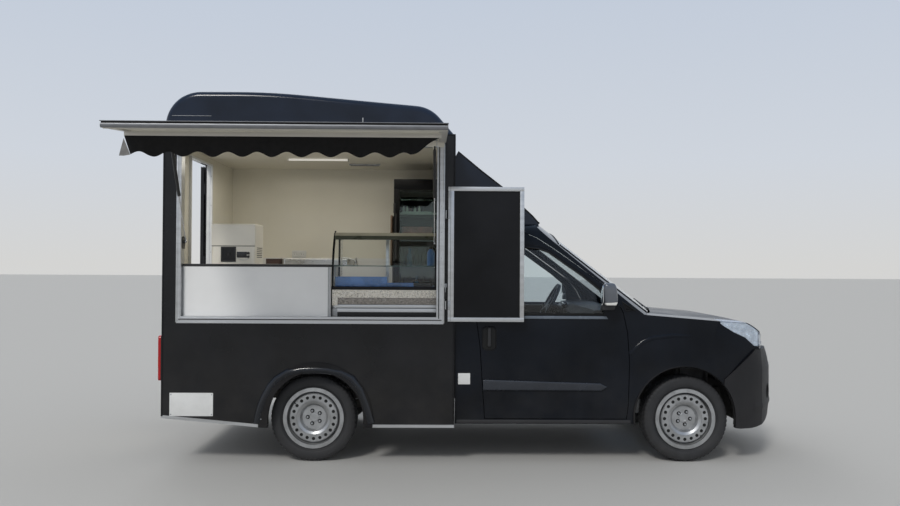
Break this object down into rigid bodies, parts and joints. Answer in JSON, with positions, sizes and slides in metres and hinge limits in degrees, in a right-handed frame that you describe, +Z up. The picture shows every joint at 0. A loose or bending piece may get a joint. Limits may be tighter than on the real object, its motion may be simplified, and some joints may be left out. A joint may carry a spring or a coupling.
{
  "type": "food truck",
  "caption": "Small cab-and-box sales van with a lift-up hatch flap, gas struts, valance, swing-out menu board and a fitted kitchen.",
  "frame": {"origin": "on the ground below the middle of the rear axle", "axes": "+X towards the front of the vehicle, +Y to its left-hand side, +Z up"},
  "size_m": [4.7443, 3.3493, 2.7148],
  "materials": {
    "box_paint": "gloss black coated panels",
    "roof_black": "moulded gloss black",
    "body_paint": "gloss black body paint",
    "inner_lining": "cream wipe-down lining",
    "floor_cover": "studded grey floor covering",
    "chassis_steel": "black underbody coating",
    "engine_metal": "rough cast",
    "tank_plastic": "moulded black",
    "wheel_silver": "silver wheel paint",
    "tyre": "matt black rubber",
    "trim_black": "grained black moulding",
    "aluminium": "satin anodised",
    "board_black": "satin black writing surface",
    "flap_skin": "cream coated sandwich panel in satin edge trim",
    "awning_cloth": "matt black awning cloth",
    "glass": "clear",
    "tinted_glass": "light tint",
    "lamp_clear": "clear lens over bright reflectors",
    "lamp_red": "red lens",
    "rod_steel": "hard chromed",
    "strut_black": "satin black",
    "seat_cloth": "dark grey woven cloth",
    "worktop": "white laminate panels with a black top",
    "case_trim": "black metal with speckled stone bands",
    "appliance": "cream housing",
    "fridge_black": "black cabinet"
  },
  "bodies": {
    "vehicle": {"chassis_frame": "chassis_steel", "rear_axle": "chassis_steel", "engine_block": "engine_metal", "fuel_tank": "tank_plastic", "cab_floor": "chassis_steel", "cab_roof": "body_paint", "cab_side_left": "body_paint", "cab_side_right": "body_paint", "cab_door_right": "body_paint", "door_glass_right": "tinted_glass", "windscreen": "tinted_glass", "mirror_right": "trim_black", "dashboard": "trim_black", "seats": "seat_cloth", "headlamps": "lamp_clear", "grille": "trim_black", "front_bumper": "trim_black", "wind_deflector": "roof_black", "box_floor": "floor_cover", "left_wall": "box_paint", "right_wall": "box_paint", "rear_wall": "box_paint", "front_wall": "box_paint", "ceiling": "inner_lining", "roof_cap": "roof_black", "skirt_rails": "aluminium", "arch_flares": "trim_black", "opening_frame": "aluminium", "rear_lamps": "lamp_red", "counter": "worktop", "display_case": "case_trim", "display_glass": "glass", "drinks_machine": "appliance", "back_counter": "worktop", "fridge": "fridge_black"},
    "knuckle_left": {"knuckle_left": "chassis_steel"},
    "knuckle_right": {"knuckle_right": "chassis_steel"},
    "wheel_front_left": {"rim_front_left": "wheel_silver", "tyre_front_left": "tyre"},
    "wheel_front_right": {"rim_front_right": "wheel_silver", "tyre_front_right": "tyre"},
    "wheel_rear_left": {"rim_rear_left": "wheel_silver", "tyre_rear_left": "tyre"},
    "wheel_rear_right": {"rim_rear_right": "wheel_silver", "tyre_rear_right": "tyre"},
    "flap": {"flap": "flap_skin", "valance": "awning_cloth"},
    "strut_barrel_front": {"strut_barrel_front": "strut_black"},
    "strut_barrel_rear": {"strut_barrel_rear": "strut_black"},
    "strut_rod_front": {"strut_rod_front": "rod_steel"},
    "strut_rod_rear": {"strut_rod_rear": "rod_steel"},
    "side_panel": {"side_panel": "board_black"},
    "entrance_door": {"entrance_door": "box_paint"},
    "cab_door_left": {"cab_door_left": "body_paint", "door_glass_left": "tinted_glass", "mirror_left": "trim_black"},
    "bonnet": {"bonnet": "body_paint"},
    "fridge_door": {"fridge_door": "fridge_black"}
  },
  "joints": [
    {"name": "steer_left", "type": "hinge", "parent": "vehicle", "child": "knuckle_left", "pos_m": [2.755, 0.615, 0.318], "axis": [0, 0, 1], "range_deg": [-35, 35]},
    {"name": "front_wheel_spin_left", "type": "hinge", "parent": "knuckle_left", "child": "wheel_front_left", "pos_m": [2.755, 0.755, 0.318], "axis": [0, 1, 0], "continuous": true},
    {"name": "rear_wheel_spin_left", "type": "hinge", "parent": "vehicle", "child": "wheel_rear_left", "pos_m": [0, 0.765, 0.318], "axis": [0, 1, 0], "continuous": true},
    {"name": "steer_right", "type": "hinge", "parent": "vehicle", "child": "knuckle_right", "pos_m": [2.755, -0.615, 0.318], "axis": [0, 0, 1], "range_deg": [-35, 35]},
    {"name": "front_wheel_spin_right", "type": "hinge", "parent": "knuckle_right", "child": "wheel_front_right", "pos_m": [2.755, -0.755, 0.318], "axis": [0, 1, 0], "continuous": true},
    {"name": "rear_wheel_spin_right", "type": "hinge", "parent": "vehicle", "child": "wheel_rear_right", "pos_m": [0, -0.765, 0.318], "axis": [0, 1, 0], "continuous": true},
    {"name": "flap_close", "type": "hinge", "parent": "vehicle", "child": "flap", "pos_m": [0, -0.9573, 2.318], "axis": [1, 0, 0], "range_deg": [0, 84.6], "deforming": ["valance"]},
    {"name": "strut_pivot_front", "type": "hinge", "parent": "flap", "child": "strut_barrel_front", "pos_m": [0.884, -1.23396, 2.26945], "axis": [1, 0, 0], "range_deg": [-106.17, 0]},
    {"name": "strut_stroke_front", "type": "slide", "parent": "strut_barrel_front", "child": "strut_rod_front", "axis": [0, 0.463, -0.8864], "range_m": [-0.3135, 0]},
    {"name": "strut_pivot_rear", "type": "hinge", "parent": "flap", "child": "strut_barrel_rear", "pos_m": [-0.938, -1.23396, 2.26945], "axis": [1, 0, 0], "range_deg": [-106.17, 0]},
    {"name": "strut_stroke_rear", "type": "slide", "parent": "strut_barrel_rear", "child": "strut_rod_rear", "axis": [0, 0.463, -0.8864], "range_m": [-0.3135, 0]},
    {"name": "side_panel_swing", "type": "hinge", "parent": "vehicle", "child": "side_panel", "pos_m": [0.9755, -0.985, 1.5], "axis": [0, 0, -1], "range_deg": [0, 90]},
    {"name": "entrance_swing", "type": "hinge", "parent": "vehicle", "child": "entrance_door", "pos_m": [-1.0943, 0.146, 1.4], "axis": [0, 0, 1], "range_deg": [0, 180]},
    {"name": "cab_door_swing", "type": "hinge", "parent": "vehicle", "child": "cab_door_left", "pos_m": [2.321, 0.922, 0.8], "axis": [0, 0, -1], "range_deg": [0, 68]},
    {"name": "bonnet_lift", "type": "hinge", "parent": "vehicle", "child": "bonnet", "pos_m": [2.376, 0, 1.106], "axis": [0, -1, 0], "range_deg": [0, 50]},
    {"name": "fridge_door_swing", "type": "hinge", "parent": "vehicle", "child": "fridge_door", "pos_m": [0.986, 0.294, 1.3], "axis": [0, 0, 1], "range_deg": [0, 85]}
  ],
  "couplings": [
    {"joint": "strut_pivot_front", "follows": "flap_close", "ratio": -1.255},
    {"joint": "strut_stroke_front", "follows": "flap_close", "m_per_rad": -0.2123},
    {"joint": "strut_pivot_rear", "follows": "flap_close", "ratio": -1.255},
    {"joint": "strut_stroke_rear", "follows": "flap_close", "m_per_rad": -0.2123}
  ]
}
